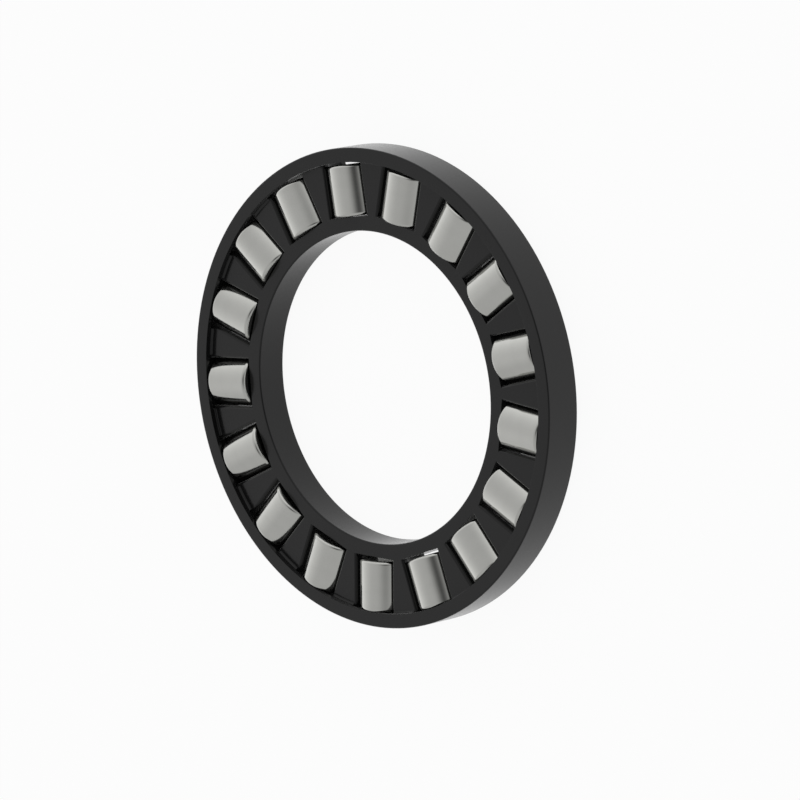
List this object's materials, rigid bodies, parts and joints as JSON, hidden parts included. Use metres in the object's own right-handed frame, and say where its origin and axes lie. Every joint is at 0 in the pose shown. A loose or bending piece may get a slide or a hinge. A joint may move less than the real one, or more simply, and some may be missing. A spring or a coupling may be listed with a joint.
{
  "type": "thrust roller cage assembly",
  "caption": "Flat ring-shaped thrust roller assembly: a black one-piece moulded cage whose radial pockets hold short steel rollers, for axial load between two washers.",
  "frame": {"origin": "on the ring's axis, at the level of the rollers' undersides, on which the assembly rests", "axes": "+Z along the ring's axis, towards the face where the outer rim stands above the webs; +X through roller_01"},
  "size_m": [0.0466, 0.0466, 0.005],
  "materials": {
    "cage": "black glass-filled nylon, moulded, satin",
    "rollers": "ground bearing steel, satin"
  },
  "bodies": {
    "cage": {"cage": "cage"},
    "roller_01": {"roller_01": "rollers"},
    "roller_02": {"roller_02": "rollers"},
    "roller_03": {"roller_03": "rollers"},
    "roller_04": {"roller_04": "rollers"},
    "roller_05": {"roller_05": "rollers"},
    "roller_06": {"roller_06": "rollers"},
    "roller_07": {"roller_07": "rollers"},
    "roller_08": {"roller_08": "rollers"},
    "roller_09": {"roller_09": "rollers"},
    "roller_10": {"roller_10": "rollers"},
    "roller_11": {"roller_11": "rollers"},
    "roller_12": {"roller_12": "rollers"},
    "roller_13": {"roller_13": "rollers"},
    "roller_14": {"roller_14": "rollers"},
    "roller_15": {"roller_15": "rollers"},
    "roller_16": {"roller_16": "rollers"},
    "roller_17": {"roller_17": "rollers"}
  },
  "joints": [
    {"name": "roller_01_spin", "type": "hinge", "parent": "cage", "child": "roller_01", "pos_m": [0.01925, 0, 0.0025], "axis": [1, 0, 0], "continuous": true},
    {"name": "roller_02_spin", "type": "hinge", "parent": "cage", "child": "roller_02", "pos_m": [0.01795, 0.00695, 0.0025], "axis": [0.9325, 0.3612, 0], "continuous": true},
    {"name": "roller_03_spin", "type": "hinge", "parent": "cage", "child": "roller_03", "pos_m": [0.01423, 0.01297, 0.0025], "axis": [0.739, 0.6737, 0], "continuous": true},
    {"name": "roller_04_spin", "type": "hinge", "parent": "cage", "child": "roller_04", "pos_m": [0.00858, 0.01723, 0.0025], "axis": [0.4457, 0.8952, 0], "continuous": true},
    {"name": "roller_05_spin", "type": "hinge", "parent": "cage", "child": "roller_05", "pos_m": [0.00178, 0.01917, 0.0025], "axis": [0.0923, 0.9957, 0], "continuous": true},
    {"name": "roller_06_spin", "type": "hinge", "parent": "cage", "child": "roller_06", "pos_m": [-0.00527, 0.01852, 0.0025], "axis": [-0.2737, 0.9618, 0], "continuous": true},
    {"name": "roller_07_spin", "type": "hinge", "parent": "cage", "child": "roller_07", "pos_m": [-0.0116, 0.01536, 0.0025], "axis": [-0.6026, 0.798, 0], "continuous": true},
    {"name": "roller_08_spin", "type": "hinge", "parent": "cage", "child": "roller_08", "pos_m": [-0.01637, 0.01013, 0.0025], "axis": [-0.8502, 0.5264, 0], "continuous": true},
    {"name": "roller_09_spin", "type": "hinge", "parent": "cage", "child": "roller_09", "pos_m": [-0.01892, 0.00354, 0.0025], "axis": [-0.983, 0.1837, 0], "continuous": true},
    {"name": "roller_10_spin", "type": "hinge", "parent": "cage", "child": "roller_10", "pos_m": [-0.01892, -0.00354, 0.0025], "axis": [-0.983, -0.1837, 0], "continuous": true},
    {"name": "roller_11_spin", "type": "hinge", "parent": "cage", "child": "roller_11", "pos_m": [-0.01637, -0.01013, 0.0025], "axis": [-0.8502, -0.5264, 0], "continuous": true},
    {"name": "roller_12_spin", "type": "hinge", "parent": "cage", "child": "roller_12", "pos_m": [-0.0116, -0.01536, 0.0025], "axis": [-0.6026, -0.798, 0], "continuous": true},
    {"name": "roller_13_spin", "type": "hinge", "parent": "cage", "child": "roller_13", "pos_m": [-0.00527, -0.01852, 0.0025], "axis": [-0.2737, -0.9618, 0], "continuous": true},
    {"name": "roller_14_spin", "type": "hinge", "parent": "cage", "child": "roller_14", "pos_m": [0.00178, -0.01917, 0.0025], "axis": [0.0923, -0.9957, 0], "continuous": true},
    {"name": "roller_15_spin", "type": "hinge", "parent": "cage", "child": "roller_15", "pos_m": [0.00858, -0.01723, 0.0025], "axis": [0.4457, -0.8952, 0], "continuous": true},
    {"name": "roller_16_spin", "type": "hinge", "parent": "cage", "child": "roller_16", "pos_m": [0.01423, -0.01297, 0.0025], "axis": [0.739, -0.6737, 0], "continuous": true},
    {"name": "roller_17_spin", "type": "hinge", "parent": "cage", "child": "roller_17", "pos_m": [0.01795, -0.00695, 0.0025], "axis": [0.9325, -0.3612, 0], "continuous": true}
  ]
}
